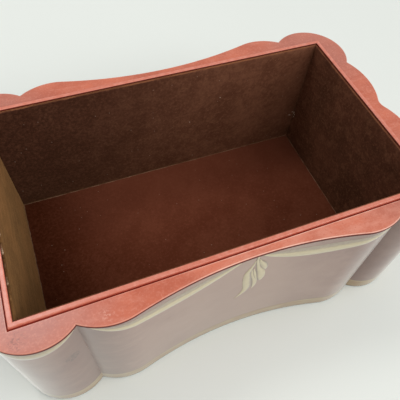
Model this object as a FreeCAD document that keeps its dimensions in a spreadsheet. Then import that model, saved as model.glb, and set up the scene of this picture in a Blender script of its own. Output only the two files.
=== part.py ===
"""Lined jewellery casket with a cusped serpentine outline and a raised lip for a lift-off lid.

Millimetres. +Z is up, X runs along the long side and the front faces -Y. The origin is the middle
of the underside. From the bottom up: a felt sheet, a base board, the walls and corner columns,
a flat rim, and inside them four thin liner boards whose top edges stand proud of the rim.
"""
import FreeCAD, Part
import math
import os
from collections import namedtuple

import Sketcher

SIZES = (
    ("opening_length", 310, "well between the end liners"),
    ("opening_width", 176, "well between the front and back liners"),
    ("box_height", 136, "underside to the top of the lip"),
    ("wall_depth", 22, "from the opening out to the crowns of the outline"),
    ("lobe_radius", 34, "round corner lobes of the outline"),
    ("long_bulge_radius", 44, "bulges beside the corners on the long sides"),
    ("long_bulge_spacing", 47.5, "lobe centre to bulge centre on the long sides"),
    ("long_waist_depth", 12, "how far the long sides curve in at the middle"),
    ("short_bulge_place", 0.4, "bulge on the ends, on the way from the middle to the lobe centre"),
    ("short_waist_depth", 7, "how far the ends curve in at the middle"),
    ("short_waist_radius", 11, "hollow at the middle of the ends"),
    ("felt_thickness", 1, "felt under the base"),
    ("felt_inset", 4, "felt edge in from the edge of the base board"),
    ("base_thickness", 3.5, "base board"),
    ("floor_thickness", 1.5, "lined card on the base board"),
    ("lining_thickness", 1.5, "lined card on the liner boards"),
    ("lining_drop", 2, "top of the wall lining below the top of the lip"),
    ("liner_thickness", 3.2, "liner boards, and so the width of the lip"),
    ("lip_height", 2, "liner boards above the rim"),
    ("lip_rounding", 0.6, "edges of the lip"),
    ("rim_thickness", 2.5, "rim plate"),
    ("rim_overhang", 0.9, "rim beyond the tops of the walls"),
    ("wall_flare", 2.5, "how much further out the walls stand at their foot than under the rim"),
    ("rim_groove", 1, "gap between the rim and the lip"),
    ("rim_easing", 0.5, "chamfer that eases the outer top edge of the rim"),
    ("screw_head", 7, "countersunk head of a base screw"),
    ("screw_shank", 3.5, "shank of a base screw"),
    ("screw_length", 16, "base screw over its head"),
    ("screw_clearance", 0.05, "gap round a base screw"),
)

doc = FreeCAD.newDocument("JewelleryCasket")
sheet = doc.addObject("Spreadsheet::Sheet", "Sizes")
for row, (alias, size, meaning) in enumerate(SIZES, 1):
    sheet.set(f"A{row}", alias)
    sheet.set(f"B{row}", str(size))
    sheet.set(f"C{row}", meaning)
    sheet.setAlias(f"B{row}", alias)
doc.recompute()

# Heights of the stacked pieces
BASE_TOP = "(Sizes.felt_thickness + Sizes.base_thickness)"
FLOOR_TOP = f"({BASE_TOP} + Sizes.floor_thickness)"
RIM_TOP = "(Sizes.box_height - Sizes.lip_height)"
WALL_HEIGHT = f"({RIM_TOP} - Sizes.rim_thickness - {BASE_TOP})"
LINER_HEIGHT = f"(Sizes.box_height - {BASE_TOP})"
LINING_HEIGHT = f"(Sizes.box_height - Sizes.lining_drop - {FLOOR_TOP})"

# Half sizes of the nested rectangles and of the outline
WELL_X = "(Sizes.opening_length / 2)"
WELL_Y = "(Sizes.opening_width / 2)"
LINER_X = f"({WELL_X} + Sizes.liner_thickness)"
LINER_Y = f"({WELL_Y} + Sizes.liner_thickness)"
HALF_LENGTH = f"({WELL_X} + Sizes.wall_depth)"
HALF_WIDTH = f"({WELL_Y} + Sizes.wall_depth)"

# The outline's arcs in the quarter where X and Y are positive. Every lobe and bulge has its crown on
# the bounding rectangle. A waist arc is tangent to the two bulges beside it, so its radius and theirs
# add up to (place^2 + depth^2) / (2 depth).
LOBE_X = f"({HALF_LENGTH} - Sizes.lobe_radius)"
LOBE_Y = f"({HALF_WIDTH} - Sizes.lobe_radius)"
LONG_BULGE_X = f"({LOBE_X} - Sizes.long_bulge_spacing)"
LONG_BULGE_Y = f"({HALF_WIDTH} - Sizes.long_bulge_radius)"
LONG_RADII = f"(({LONG_BULGE_X}^2 + Sizes.long_waist_depth^2) / (2 * Sizes.long_waist_depth))"
LONG_WAIST_Y = f"({LONG_BULGE_Y} - Sizes.long_waist_depth + {LONG_RADII})"
SHORT_BULGE_Y = f"({LOBE_Y} * Sizes.short_bulge_place)"
SHORT_RADII = f"(({SHORT_BULGE_Y}^2 + Sizes.short_waist_depth^2) / (2 * Sizes.short_waist_depth))"
SHORT_BULGE_RADIUS = f"({SHORT_RADII} - Sizes.short_waist_radius)"
SHORT_BULGE_X = f"({HALF_LENGTH} - {SHORT_BULGE_RADIUS})"
SHORT_WAIST_X = f"({HALF_LENGTH} - Sizes.short_waist_depth + Sizes.short_waist_radius)"

Circle = namedtuple("Circle", "x y radius")
ARCS = {
    "lobe": Circle(LOBE_X, LOBE_Y, "Sizes.lobe_radius"),
    "long_bulge": Circle(LONG_BULGE_X, LONG_BULGE_Y, "Sizes.long_bulge_radius"),
    "short_bulge": Circle(SHORT_BULGE_X, SHORT_BULGE_Y, SHORT_BULGE_RADIUS),
}

# A base screw stands midway through the thickness behind each lobe and each bulge of the long sides.
WALL_EDGE = "Sizes.rim_overhang"
BASE_EDGE = "(Sizes.rim_overhang - Sizes.wall_flare)"
LOBE_SCREW = (
    "((Sizes.liner_thickness + Sizes.lobe_radius - Sizes.wall_depth"
    f" + (Sizes.lobe_radius - {WALL_EDGE}) / sqrt(2)) / 2)"
)
SCREWS = {
    "lobe": (f"({LOBE_X} + {LOBE_SCREW})", f"({LOBE_Y} + {LOBE_SCREW})"),
    "long_bulge": (LONG_BULGE_X, f"(({LINER_Y} + {HALF_WIDTH} - {WALL_EDGE}) / 2)"),
}

# Signs of X and Y in the four quarters, counter-clockwise from above
QUARTERS = ((1, 1), (-1, 1), (-1, -1), (1, -1))

# How a sketch numbers its own origin and the points of an edge
ORIGIN = -1
START, END, CENTRE = 1, 2, 3
TOLERANCE = 1e-6
Edge = namedtuple("Edge", "geo first last smooth")


def number(expression):
    return float(sheet.evalExpression(expression))


def meeting(first, second, axis):
    """The point where two circles cross, the one further out along axis (0 for X, 1 for Y)."""
    gap = second[0] - first[0]
    along = (first[1] ** 2 - second[1] ** 2 + gap.Length ** 2) / (2 * gap.Length)
    across = math.sqrt(first[1] ** 2 - along ** 2)
    direction = gap.normalize()
    normal = FreeCAD.Vector(-direction.y, direction.x, 0)
    middle = first[0] + direction * along
    return max(middle + normal * across, middle - normal * across, key=lambda point: point[axis])


def joints(inset):
    """Where the outline's arcs meet in the first quarter, with the outline drawn in by inset."""
    drawn_in = number(inset)
    circles = {}
    for kind, circle in ARCS.items():
        centre = FreeCAD.Vector(number(circle.x), number(circle.y), 0)
        circles[kind] = (centre, number(circle.radius) - drawn_in)
    long_centre, long_radius = circles["long_bulge"]
    short_centre, short_radius = circles["short_bulge"]
    to_long_waist = FreeCAD.Vector(0, number(LONG_WAIST_Y), 0) - long_centre
    to_short_waist = FreeCAD.Vector(number(SHORT_WAIST_X), 0, 0) - short_centre
    return {
        "long_cusp": meeting(circles["lobe"], circles["long_bulge"], 1),
        "short_cusp": meeting(circles["lobe"], circles["short_bulge"], 0),
        "long_turn": long_centre + to_long_waist.normalize() * long_radius,
        "short_turn": short_centre + to_short_waist.normalize() * short_radius,
    }


def mirrored(point, sx, sy):
    return FreeCAD.Vector(point.x * sx, point.y * sy, 0)


class Profile:
    """A sketch on the XY plane of its body, with sizes tied to the sheet."""

    def __init__(self, body, name):
        self.sketch = body.newObject("Sketcher::SketchObject", name)
        plane = next(part for part in body.Origin.OriginFeatures if part.Role == "XY_Plane")
        self.sketch.AttachmentSupport = (plane, "")
        self.sketch.MapMode = "FlatFace"

    def limit(self, kind, *ends):
        return self.sketch.addConstraint(Sketcher.Constraint(kind, *ends))

    def tie(self, kind, *ends, to):
        index = self.limit(kind, *ends, number(to))
        self.sketch.setExpression(f"Constraints[{index}]", to)

    def put(self, axis, geo, point, side, to):
        """Hold one coordinate of a point, on the positive or the negative side of the origin."""
        ends = (ORIGIN, START, geo, point) if side > 0 else (geo, point, ORIGIN, START)
        self.tie("Distance" + axis, *ends, to=to)

    def line(self, start, end):
        return Edge(self.sketch.addGeometry(Part.LineSegment(start, end)), START, END, False)

    def arc(self, centre, start, end, convex=True):
        """An arc of a counter-clockwise outline. A hollow one runs clockwise, from its own end."""
        first, last = (start, end) if convex else (end, start)
        angles = [math.atan2(point.y - centre.y, point.x - centre.x) for point in (first, last)]
        circle = Part.Circle(centre, FreeCAD.Vector(0, 0, 1), (first - centre).Length)
        geo = self.sketch.addGeometry(Part.ArcOfCircle(circle, *angles))
        return Edge(geo, START, END, False) if convex else Edge(geo, END, START, True)

    def hold_circle(self, geo, circle, sx, sy, inset):
        self.put("X", geo, CENTRE, sx, circle.x)
        self.put("Y", geo, CENTRE, sy, circle.y)
        self.tie("Radius", geo, to=f"{circle.radius} - ({inset})")

    def outline_arc(self, kind, start, end, sx, sy, inset):
        circle = ARCS[kind]
        centre = FreeCAD.Vector(number(circle.x) * sx, number(circle.y) * sy, 0)
        edge = self.arc(centre, mirrored(start, sx, sy), mirrored(end, sx, sy))
        self.hold_circle(edge.geo, circle, sx, sy, inset)
        return edge

    def long_waist(self, start, sy):
        """The hollow of a long side, from start to its mirror image."""
        centre = FreeCAD.Vector(0, number(LONG_WAIST_Y) * sy, 0)
        edge = self.arc(centre, start, mirrored(start, -1, 1), convex=False)
        self.put("Y", edge.geo, CENTRE, sy, LONG_WAIST_Y)
        return edge

    def short_waist(self, start, sx):
        """The hollow of an end, from start to its mirror image."""
        centre = FreeCAD.Vector(number(SHORT_WAIST_X) * sx, 0, 0)
        edge = self.arc(centre, start, mirrored(start, 1, -1), convex=False)
        self.put("X", edge.geo, CENTRE, sx, SHORT_WAIST_X)
        return edge

    def guide(self, kind, sx, sy, inset, edge_point):
        """Keep an end of an edge on an arc of the neighbouring piece."""
        circle = ARCS[kind]
        centre = FreeCAD.Vector(number(circle.x) * sx, number(circle.y) * sy, 0)
        radius = number(circle.radius) - number(inset)
        ring = Part.Circle(centre, FreeCAD.Vector(0, 0, 1), radius)
        geo = self.sketch.addGeometry(ring, True)
        self.hold_circle(geo, circle, sx, sy, inset)
        self.limit("PointOnObject", *edge_point, geo)

    def close(self, edges):
        for edge, following in zip(edges, edges[1:] + edges[:1]):
            kind = "Tangent" if edge.smooth or following.smooth else "Coincident"
            self.limit(kind, edge.geo, edge.last, following.geo, following.first)

    def rectangle(self, half_x, half_y):
        """A rectangle about the origin."""
        x, y = number(half_x), number(half_y)
        points = [FreeCAD.Vector(x * sx, y * sy, 0) for sx, sy in QUARTERS]
        edges = [self.line(points[i], points[(i + 1) % 4]) for i in range(4)]
        self.close(edges)
        for edge in edges[0::2]:
            self.limit("Horizontal", edge.geo)
        for edge in edges[1::2]:
            self.limit("Vertical", edge.geo)
        for edge, (sx, sy) in zip(edges[0::2], QUARTERS[0::2]):
            self.put("X", edge.geo, START, sx, half_x)
            self.put("Y", edge.geo, START, sy, half_y)

    def cartouche(self, inset):
        """The whole outline of the box, drawn in by inset."""
        joint = joints(inset)
        quarter = (
            ("short_bulge", "short_turn", "short_cusp"),
            ("lobe", "short_cusp", "long_cusp"),
            ("long_bulge", "long_cusp", "long_turn"),
        )
        reverse = tuple((kind, end, start) for kind, start, end in reversed(quarter))
        edges = []
        for sx, sy in QUARTERS:
            for kind, start, end in (quarter if sx == sy else reverse):
                edges.append(self.outline_arc(kind, joint[start], joint[end], sx, sy, inset))
            if sx == sy:
                edges.append(self.long_waist(mirrored(joint["long_turn"], sx, sy), sy))
            else:
                edges.append(self.short_waist(mirrored(joint["short_turn"], sx, sy), sx))
        self.close(edges)

    def screw_circles(self, diameter, places):
        """Circles at the base screws. Each place is a kind of arc and the signs of X and Y."""
        for kind, sx, sy in places:
            x, y = SCREWS[kind]
            centre = FreeCAD.Vector(number(x) * sx, number(y) * sy, 0)
            circle = Part.Circle(centre, FreeCAD.Vector(0, 0, 1), number(diameter) / 2)
            geo = self.sketch.addGeometry(circle)
            self.put("X", geo, CENTRE, sx, x)
            self.put("Y", geo, CENTRE, sy, y)
            self.tie("Diameter", geo, to=diameter)


def new_body(label, height="0"):
    """An empty body that stands at a height."""
    body = doc.addObject("PartDesign::Body", label)
    body.Label = label
    body.setExpression("Placement.Base.z", height)
    return body


def pad(body, profile, length, taper="0"):
    feature = body.newObject("PartDesign::Pad", "Pad")
    feature.Profile = profile.sketch
    feature.setExpression("Length", length)
    feature.setExpression("TaperAngle", taper)
    profile.sketch.Visibility = False
    doc.recompute()
    return feature


def bore(body, profile, depth, taper="0"):
    """Pocket a profile upwards from the underside of its body, and see that it cut."""
    before = body.Shape.Volume
    feature = body.newObject("PartDesign::Pocket", "Bore")
    feature.Profile = profile.sketch
    feature.Reversed = True
    feature.setExpression("Length", depth)
    feature.setExpression("TaperAngle", taper)
    profile.sketch.Visibility = False
    doc.recompute()
    if body.Shape.Volume >= before:
        raise RuntimeError(f"{body.Label}: the bore cut nothing")


def flare(body, feature):
    """Lean the curved outside of a wall or column outwards towards its foot."""
    faces = feature.Shape.Faces
    curved = [f"Face{i}" for i, face in enumerate(faces, 1) if isinstance(face.Surface, Part.Cylinder)]
    top = max(range(len(faces)), key=lambda i: faces[i].CenterOfMass.z)
    lean = body.newObject("PartDesign::Draft", "Flare")
    lean.Base = (feature, curved)
    lean.NeutralPlane = (feature, [f"Face{top + 1}"])
    lean.setExpression("Angle", f"atan(Sizes.wall_flare / {WALL_HEIGHT})")
    doc.recompute()
    if body.Shape.Volume <= feature.Shape.Volume:
        raise RuntimeError(f"{body.Label}: the flare added nothing")


def dress_edges(body, feature, kind, size_name, size, chosen):
    """Fillet or chamfer the edges of a feature that chosen(edge) picks."""
    names = [f"Edge{i}" for i, edge in enumerate(feature.Shape.Edges, 1) if chosen(edge)]
    dressing = body.newObject(f"PartDesign::{kind}", kind)
    dressing.Base = (feature, names)
    dressing.setExpression(size_name, size)
    doc.recompute()


def level(edge):
    """The height of a level edge, or None."""
    box = edge.BoundBox
    return box.ZMax if box.ZLength < TOLERANCE else None


def is_at(edge, height):
    return level(edge) is not None and abs(level(edge) - height) < TOLERANCE


SHANK_HOLE = "(Sizes.screw_shank + 2 * Sizes.screw_clearance)"
HEAD_HOLE = "(Sizes.screw_head + 2 * Sizes.screw_clearance)"
HEAD_HEIGHT = "((Sizes.screw_head - Sizes.screw_shank) / 2)"
PILOT_DEPTH = "(Sizes.screw_length - Sizes.base_thickness + Sizes.screw_clearance)"
COUNTERSINK = "-45"
ALL_SCREWS = [(kind, sx, sy) for kind in SCREWS for sx, sy in QUARTERS]


def make_base_felt():
    body = new_body("base_felt")
    profile = Profile(body, "FeltOutline")
    profile.cartouche(f"{BASE_EDGE} + Sizes.felt_inset")
    pad(body, profile, "Sizes.felt_thickness")
    return body


def make_base_board():
    body = new_body("base_board", "Sizes.felt_thickness")
    profile = Profile(body, "BoardOutline")
    profile.cartouche(BASE_EDGE)
    pad(body, profile, "Sizes.base_thickness")
    shanks = Profile(body, "ShankHoles")
    shanks.screw_circles(SHANK_HOLE, ALL_SCREWS)
    bore(body, shanks, "Sizes.base_thickness")
    heads = Profile(body, "HeadHoles")
    heads.screw_circles(HEAD_HOLE, ALL_SCREWS)
    bore(body, heads, HEAD_HEIGHT, COUNTERSINK)
    return body


def make_base_screws():
    body = new_body("base_screws", "Sizes.felt_thickness")
    body.AllowCompound = True
    heads = Profile(body, "Heads")
    heads.screw_circles("Sizes.screw_head", ALL_SCREWS)
    pad(body, heads, HEAD_HEIGHT, COUNTERSINK)
    shanks = Profile(body, "Shanks")
    shanks.screw_circles("Sizes.screw_shank", ALL_SCREWS)
    pad(body, shanks, "Sizes.screw_length")
    return body


def drill_pilots(body, places):
    profile = Profile(body, "Pilots")
    profile.screw_circles(SHANK_HOLE, places)
    bore(body, profile, PILOT_DEPTH)


def make_long_wall(label, turn):
    """A front or back wall, drawn as the front one and turned about Z."""
    body = new_body(label, BASE_TOP)
    body.Placement.Rotation = FreeCAD.Rotation(FreeCAD.Vector(0, 0, 1), turn)
    profile = Profile(body, "WallOutline")
    joint = joints(WALL_EDGE)
    inner_y = -number(LINER_Y)
    left_cusp = mirrored(joint["long_cusp"], -1, -1)
    right_cusp = mirrored(joint["long_cusp"], 1, -1)
    inner_left = FreeCAD.Vector(left_cusp.x, inner_y, 0)
    inner_right = FreeCAD.Vector(right_cusp.x, inner_y, 0)
    left = profile.outline_arc("long_bulge", joint["long_cusp"], joint["long_turn"], -1, -1, WALL_EDGE)
    waist = profile.long_waist(mirrored(joint["long_turn"], -1, -1), -1)
    right = profile.outline_arc("long_bulge", joint["long_turn"], joint["long_cusp"], 1, -1, WALL_EDGE)
    right_end = profile.line(right_cusp, inner_right)
    inner = profile.line(inner_right, inner_left)
    left_end = profile.line(inner_left, left_cusp)
    profile.close([left, waist, right, right_end, inner, left_end])
    profile.guide("lobe", -1, -1, WALL_EDGE, (left.geo, left.first))
    profile.guide("lobe", 1, -1, WALL_EDGE, (right.geo, right.last))
    profile.limit("Vertical", right_end.geo)
    profile.limit("Vertical", left_end.geo)
    profile.limit("Horizontal", inner.geo)
    profile.put("Y", inner.geo, START, -1, LINER_Y)
    flare(body, pad(body, profile, WALL_HEIGHT))
    drill_pilots(body, [("long_bulge", sx, -1) for sx in (-1, 1)])
    return body


def make_short_wall(label, turn):
    """An end wall, drawn as the right one and turned about Z."""
    body = new_body(label, BASE_TOP)
    body.Placement.Rotation = FreeCAD.Rotation(FreeCAD.Vector(0, 0, 1), turn)
    profile = Profile(body, "WallOutline")
    joint = joints(WALL_EDGE)
    inner_x = number(LINER_X)
    front_cusp = mirrored(joint["short_cusp"], 1, -1)
    back_cusp = mirrored(joint["short_cusp"], 1, 1)
    inner_front = FreeCAD.Vector(inner_x, front_cusp.y, 0)
    inner_back = FreeCAD.Vector(inner_x, back_cusp.y, 0)
    front = profile.outline_arc("short_bulge", joint["short_cusp"], joint["short_turn"], 1, -1, WALL_EDGE)
    waist = profile.short_waist(mirrored(joint["short_turn"], 1, -1), 1)
    back = profile.outline_arc("short_bulge", joint["short_turn"], joint["short_cusp"], 1, 1, WALL_EDGE)
    back_end = profile.line(back_cusp, inner_back)
    inner = profile.line(inner_back, inner_front)
    front_end = profile.line(inner_front, front_cusp)
    profile.close([front, waist, back, back_end, inner, front_end])
    profile.guide("lobe", 1, -1, WALL_EDGE, (front.geo, front.first))
    profile.guide("lobe", 1, 1, WALL_EDGE, (back.geo, back.last))
    profile.limit("Horizontal", back_end.geo)
    profile.limit("Horizontal", front_end.geo)
    profile.limit("Vertical", inner.geo)
    profile.put("X", inner.geo, START, 1, LINER_X)
    flare(body, pad(body, profile, WALL_HEIGHT))
    return body


def make_corner_column(label, sx, sy):
    """A corner lobe, notched to fit round the corner of the liner boards."""
    body = new_body(label, BASE_TOP)
    profile = Profile(body, "ColumnOutline")
    joint = joints(WALL_EDGE)
    liner = FreeCAD.Vector(number(LINER_X), number(LINER_Y), 0)
    long_cusp = joint["long_cusp"]
    short_cusp = joint["short_cusp"]
    turns = [
        long_cusp,
        FreeCAD.Vector(long_cusp.x, liner.y, 0),
        liner,
        FreeCAD.Vector(liner.x, short_cusp.y, 0),
        short_cusp,
    ]
    arc_ends = (short_cusp, long_cusp)
    if sx != sy:
        turns.reverse()
        arc_ends = (long_cusp, short_cusp)
    turns = [mirrored(point, sx, sy) for point in turns]
    lobe = profile.outline_arc("lobe", *arc_ends, sx, sy, WALL_EDGE)
    lines = [profile.line(start, end) for start, end in zip(turns, turns[1:])]
    profile.close([lobe] + lines)
    long_end, short_end = (lobe.last, lobe.first) if sx == sy else (lobe.first, lobe.last)
    profile.guide("long_bulge", sx, sy, WALL_EDGE, (lobe.geo, long_end))
    profile.guide("short_bulge", sx, sy, WALL_EDGE, (lobe.geo, short_end))
    from_long_end = lines if sx == sy else lines[::-1]
    for edge, direction in zip(from_long_end, ("Vertical", "Horizontal", "Vertical", "Horizontal")):
        profile.limit(direction, edge.geo)
    profile.put("X", lines[1].geo, END, sx, LINER_X)
    profile.put("Y", lines[1].geo, END, sy, LINER_Y)
    flare(body, pad(body, profile, WALL_HEIGHT))
    drill_pilots(body, [("lobe", sx, sy)])
    return body


def make_rim():
    body = new_body("rim", f"{RIM_TOP} - Sizes.rim_thickness")
    profile = Profile(body, "RimOutline")
    profile.cartouche("0")
    profile.rectangle(f"{LINER_X} + Sizes.rim_groove", f"{LINER_Y} + Sizes.rim_groove")
    plate = pad(body, profile, "Sizes.rim_thickness")
    top = number("Sizes.rim_thickness")
    dress_edges(
        body, plate, "Chamfer", "Size", "Sizes.rim_easing",
        lambda edge: isinstance(edge.Curve, Part.Circle) and is_at(edge, top),
    )
    return body


def make_liner(label, turn, half_length, distance):
    """A liner board with mitred ends, drawn along X at the front and turned about Z."""
    body = new_body(label, BASE_TOP)
    body.Placement.Rotation = FreeCAD.Rotation(FreeCAD.Vector(0, 0, 1), turn)
    profile = Profile(body, "MitredBoard")
    outer_half = f"({half_length} + Sizes.liner_thickness)"
    outer_distance = f"({distance} + Sizes.liner_thickness)"
    inner_x, inner_y = number(half_length), -number(distance)
    outer_x, outer_y = number(outer_half), -number(outer_distance)
    points = [
        FreeCAD.Vector(-outer_x, outer_y, 0),
        FreeCAD.Vector(outer_x, outer_y, 0),
        FreeCAD.Vector(inner_x, inner_y, 0),
        FreeCAD.Vector(-inner_x, inner_y, 0),
    ]
    edges = [profile.line(points[i], points[(i + 1) % 4]) for i in range(4)]
    profile.close(edges)
    outer, inner = edges[0], edges[2]
    for end, side in ((START, -1), (END, 1)):
        profile.put("X", outer.geo, end, side, outer_half)
        profile.put("Y", outer.geo, end, -1, outer_distance)
        profile.put("X", inner.geo, end, -side, half_length)
        profile.put("Y", inner.geo, end, -1, distance)
    board = pad(body, profile, LINER_HEIGHT)
    top = number(LINER_HEIGHT)
    dress_edges(
        body, board, "Fillet", "Radius", "Sizes.lip_rounding",
        lambda edge: is_at(edge, top) and edge.BoundBox.YLength < TOLERANCE,
    )
    return body


def make_panel(label, sizes, corner):
    """A flat lined card: its sizes along X, Y and Z, and its lowest corner."""
    panel = doc.addObject("Part::Box", label)
    panel.Label = label
    for name, size in zip(("Length", "Width", "Height"), sizes):
        panel.setExpression(name, size)
    for axis, place in zip("xyz", corner):
        panel.setExpression(f"Placement.Base.{axis}", place)
    return panel


def make_linings():
    """Suede-covered cards: the floor, then the long walls on it, then the ends between those."""
    thickness = "Sizes.lining_thickness"
    long_size = ("Sizes.opening_length", thickness, LINING_HEIGHT)
    short_size = (thickness, f"Sizes.opening_width - 2 * {thickness}", LINING_HEIGHT)
    end_y = f"-{WELL_Y} + {thickness}"
    floor_size = ("Sizes.opening_length", "Sizes.opening_width", "Sizes.floor_thickness")
    return [
        make_panel("floor_lining", floor_size, (f"-{WELL_X}", f"-{WELL_Y}", BASE_TOP)),
        make_panel("front_lining", long_size, (f"-{WELL_X}", f"-{WELL_Y}", FLOOR_TOP)),
        make_panel("back_lining", long_size, (f"-{WELL_X}", f"{WELL_Y} - {thickness}", FLOOR_TOP)),
        make_panel("left_lining", short_size, (f"-{WELL_X}", end_y, FLOOR_TOP)),
        make_panel("right_lining", short_size, (f"{WELL_X} - {thickness}", end_y, FLOOR_TOP)),
    ]


pieces = [
    make_base_felt(),
    make_base_board(),
    make_base_screws(),
    make_long_wall("front_wall", 0),
    make_long_wall("back_wall", 180),
    make_short_wall("right_wall", 0),
    make_short_wall("left_wall", 180),
    make_corner_column("front_left_column", -1, -1),
    make_corner_column("front_right_column", 1, -1),
    make_corner_column("back_left_column", -1, 1),
    make_corner_column("back_right_column", 1, 1),
    make_rim(),
    make_liner("front_liner", 0, WELL_X, WELL_Y),
    make_liner("right_liner", 90, WELL_Y, WELL_X),
    make_liner("back_liner", 180, WELL_X, WELL_Y),
    make_liner("left_liner", 270, WELL_Y, WELL_X),
]
pieces += make_linings()
doc.recompute()

for item in doc.Objects:
    if "Invalid" in item.State or "Error" in item.State:
        raise RuntimeError(f"{item.Label}: {item.State}")
for piece in pieces:
    if piece.Shape.isNull() or not piece.Shape.isValid():
        raise RuntimeError(f"{piece.Label}: no valid shape")

os.makedirs("parts", exist_ok=True)
for piece in pieces:
    piece.Shape.exportStep(f"parts/{piece.Label}.step")
    print(f"{piece.Label}: {len(piece.Shape.Solids)} solid(s), {piece.Shape.Volume:.0f} mm3")
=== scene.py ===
"""Looks of the lined jewellery casket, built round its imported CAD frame.

Metres, in the frame of the CAD model: +Z up, X along the long side, front facing -Y.
"""

import math
from bisect import bisect_right
from collections import namedtuple

import bmesh
import bpy
from mathutils import Matrix, Vector, noise


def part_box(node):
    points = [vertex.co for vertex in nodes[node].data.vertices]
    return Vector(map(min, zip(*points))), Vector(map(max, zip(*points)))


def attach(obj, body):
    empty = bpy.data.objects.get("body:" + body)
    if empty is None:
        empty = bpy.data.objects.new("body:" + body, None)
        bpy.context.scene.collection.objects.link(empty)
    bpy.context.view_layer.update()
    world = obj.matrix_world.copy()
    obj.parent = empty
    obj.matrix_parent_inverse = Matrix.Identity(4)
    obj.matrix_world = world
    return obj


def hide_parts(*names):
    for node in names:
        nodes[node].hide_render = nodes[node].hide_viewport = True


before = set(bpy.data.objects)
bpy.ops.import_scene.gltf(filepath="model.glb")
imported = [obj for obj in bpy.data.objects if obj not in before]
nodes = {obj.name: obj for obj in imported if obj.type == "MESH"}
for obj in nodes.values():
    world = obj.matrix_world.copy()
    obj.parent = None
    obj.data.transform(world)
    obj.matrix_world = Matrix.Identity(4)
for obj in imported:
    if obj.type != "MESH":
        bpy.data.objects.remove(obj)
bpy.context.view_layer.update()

MM = 0.001

# Heights and half sizes, from the frame
RIM_LOW, RIM_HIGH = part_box("rim")
WALL_LOW, WALL_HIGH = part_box("front_wall")
LIP_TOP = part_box("front_liner")[1].z
HALF_LENGTH = RIM_HIGH.x
HALF_WIDTH = RIM_HIGH.y
FOOT_INSET = RIM_HIGH.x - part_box("base_board")[1].x
FELT_INSET = RIM_HIGH.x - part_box("base_felt")[1].x
LINER_HALF_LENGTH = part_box("right_liner")[1].x
LINER_HALF_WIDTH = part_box("back_liner")[1].y
LINING_LOW, LINING_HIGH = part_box("right_lining")
LIP_WIDTH = LINER_HALF_LENGTH - LINING_HIGH.x
WELL_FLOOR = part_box("floor_lining")[1].z

# The outline's arcs, at the sizes of the CAD model
LOBE_RADIUS = 34 * MM
LOBE_CENTRE = Vector((HALF_LENGTH - LOBE_RADIUS, HALF_WIDTH - LOBE_RADIUS))
LONG_BULGE_RADIUS = 44 * MM
LONG_BULGE_SPACING = 47.5 * MM
LONG_BULGE_CENTRE = Vector((LOBE_CENTRE.x - LONG_BULGE_SPACING, HALF_WIDTH - LONG_BULGE_RADIUS))
LONG_WAIST_DEPTH = 12 * MM
SHORT_BULGE_PLACE = 0.4
SHORT_WAIST_DEPTH = 7 * MM
SHORT_WAIST_RADIUS = 11 * MM

# Other sizes. HAIR_GAP is what is left where one thing only just clears another.
RIM_GROOVE = 1 * MM
RIM_OVERHANG = 0.9 * MM
GOLD_BAND_TOP = 14 * MM
HAIR_GAP = 0.05 * MM

# The camera of the photograph
PHOTO_SIDE = 400
FOCAL_PIXELS = 439.04
SENSOR_WIDTH = 36
CLIP_START = 10 * MM
CAMERA_PLACE = Vector((-98.1 * MM, -199.6 * MM, 397.8 * MM))
CAMERA_YAW = math.radians(27.12)
CAMERA_PITCH = math.radians(56.32)
CAMERA_ROLL = math.radians(6.69)


def linear(red, green, blue):
    """A colour given in 0 to 255 as a screen shows it, as the linear values that shaders take."""
    values = []
    for channel in (red, green, blue):
        share = channel / 255
        values.append(share / 12.92 if share <= 0.04045 else ((share + 0.055) / 1.055) ** 2.4)
    return (*values, 1.0)


# Colours of the paints, the cloths, the screws and the stage
RIM_DEEP = linear(182, 89, 62)
RIM_FULL = linear(202, 107, 78)
RIM_PALE = linear(214, 139, 117)
RIM_DULL = linear(160, 104, 93)
RIM_RUBBED = linear(242, 198, 178)
RIM_SIDE = linear(92, 34, 27)
RIM_GRIME = linear(64, 30, 24)
LIP_FULL = linear(200, 111, 88)
LIP_PALE = linear(212, 132, 112)
LIP_SIDE = linear(104, 38, 26)
GROOVE = linear(196, 74, 54)
BODY_DEEP = linear(128, 95, 83)
BODY_FULL = linear(141, 110, 96)
BODY_PALE = linear(161, 133, 117)
BODY_PAINTED_SHADE = linear(95, 64, 55)
HAZE = linear(250, 248, 244)
BAND_LINE = linear(104, 84, 72)
BAND_DEEP = linear(146, 114, 72)
BAND_FULL = linear(164, 144, 106)
SMUDGE_AND_FOOT_SHADE = linear(72, 60, 50)
GOLD_LINE = linear(128, 116, 92)
GOLD_DEEP = linear(134, 116, 100)
GOLD_FULL = linear(190, 175, 138)
WALL_DEEP = linear(92, 52, 37)
WALL_FULL = linear(118, 74, 55)
WALL_PAINTED_SHADE = linear(46, 20, 12)
FLOOR_PAINTED_SHADE = linear(60, 22, 4)
LEFT_DEEP = linear(66, 41, 18)
LEFT_FULL = linear(98, 63, 32)
RIGHT_DEEP = linear(72, 40, 27)
RIGHT_FULL = linear(92, 53, 38)
FLOOR_DEEP = linear(99, 49, 30)
FLOOR_FULL = linear(112, 60, 40)
SUEDE_RAISED = linear(138, 92, 68)
FLOOR_RAISED = linear(126, 70, 51)
SUEDE_SHEEN = linear(226, 172, 112)
LEFT_RAISED = linear(131, 94, 56)
LINT = linear(200, 180, 160)
CUT_EDGE = linear(128, 80, 54)
FRAYED = linear(196, 170, 142)
DUST = linear(176, 142, 116)
FELT_DEEP = linear(46, 32, 28)
FELT_FULL = linear(70, 50, 42)
STEEL_DULL = linear(176, 176, 170)
STEEL_BRIGHT = linear(206, 204, 194)
STAGE_DEEP = linear(228, 232, 227)
STAGE_FULL = linear(232, 236, 231)

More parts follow.
